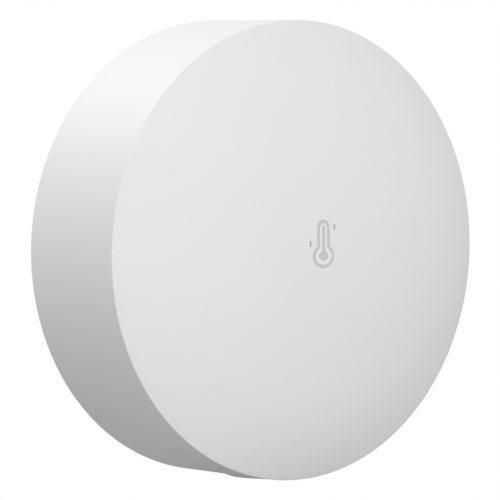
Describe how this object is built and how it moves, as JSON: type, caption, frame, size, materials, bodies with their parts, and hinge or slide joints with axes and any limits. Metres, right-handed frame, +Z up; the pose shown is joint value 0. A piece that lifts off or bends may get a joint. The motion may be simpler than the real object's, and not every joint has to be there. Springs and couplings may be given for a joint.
{
  "type": "room temperature and humidity sensor",
  "caption": "Round wall sensor for room temperature and humidity: domed white housing that twists off its wall plate, with cells, circuit board and a pairing key inside.",
  "frame": {"origin": "middle of the rear face of the adhesive pad, where the sensor meets the wall", "axes": "+Z up, -Y out of the wall through the face, +X to the right as seen from the front"},
  "size_m": [0.06, 0.0239, 0.0603],
  "materials": {
    "shell_white": "fine satin moulded finish",
    "key_white": "fine satin moulded finish",
    "plate_white": "plain moulded finish",
    "pad_foam": "closed-cell foam tape",
    "clear_acrylic": "polished clear",
    "chassis_grey": "plain moulded finish",
    "cell_sleeve": "plain printed sleeve over a steel can",
    "contact_nickel": "nickel plated",
    "board_green": "solder mask",
    "radio_green": "solder mask",
    "shield_tin": "tin plated sheet",
    "chip_grey": "moulded resin",
    "led_ivory": "clear resin over phosphor",
    "capacitor_ochre": "moulded resin",
    "chip_black": "moulded resin",
    "chip_tan": "fired ceramic",
    "screw_steel": "zinc plated"
  },
  "bodies": {
    "wall_plate": {"wall_plate": "plate_white", "adhesive_pad": "pad_foam"},
    "housing": {"front_shell": "shell_white", "light_guide": "clear_acrylic", "battery_chassis": "chassis_grey", "cell_upper": "cell_sleeve", "cell_lower": "cell_sleeve", "positive_contact": "contact_nickel", "negative_contact": "contact_nickel", "series_contact": "contact_nickel", "negative_spring": "contact_nickel", "series_spring": "contact_nickel", "main_board": "board_green", "radio_board": "radio_green", "radio_shield": "shield_tin", "humidity_sensor": "chip_grey", "status_led": "led_ivory", "bulk_capacitor": "capacitor_ochre", "regulator": "chip_black", "chip_parts": "chip_tan", "clamp_screws": "screw_steel", "tact_switch": "chip_black"},
    "pairing_key": {"pairing_key": "key_white", "switch_plunger": "chip_black"}
  },
  "joints": [
    {"name": "housing_twist", "type": "hinge", "parent": "wall_plate", "child": "housing", "pos_m": [0, 0, 0], "axis": [0, -1, 0], "range_deg": [0, 24]},
    {"name": "key_press", "type": "slide", "parent": "housing", "child": "pairing_key", "axis": [0, 0, 1], "range_m": [0, 0.0005], "stiffness_N_per_m": 3000, "springref_m": -0.0004}
  ]
}
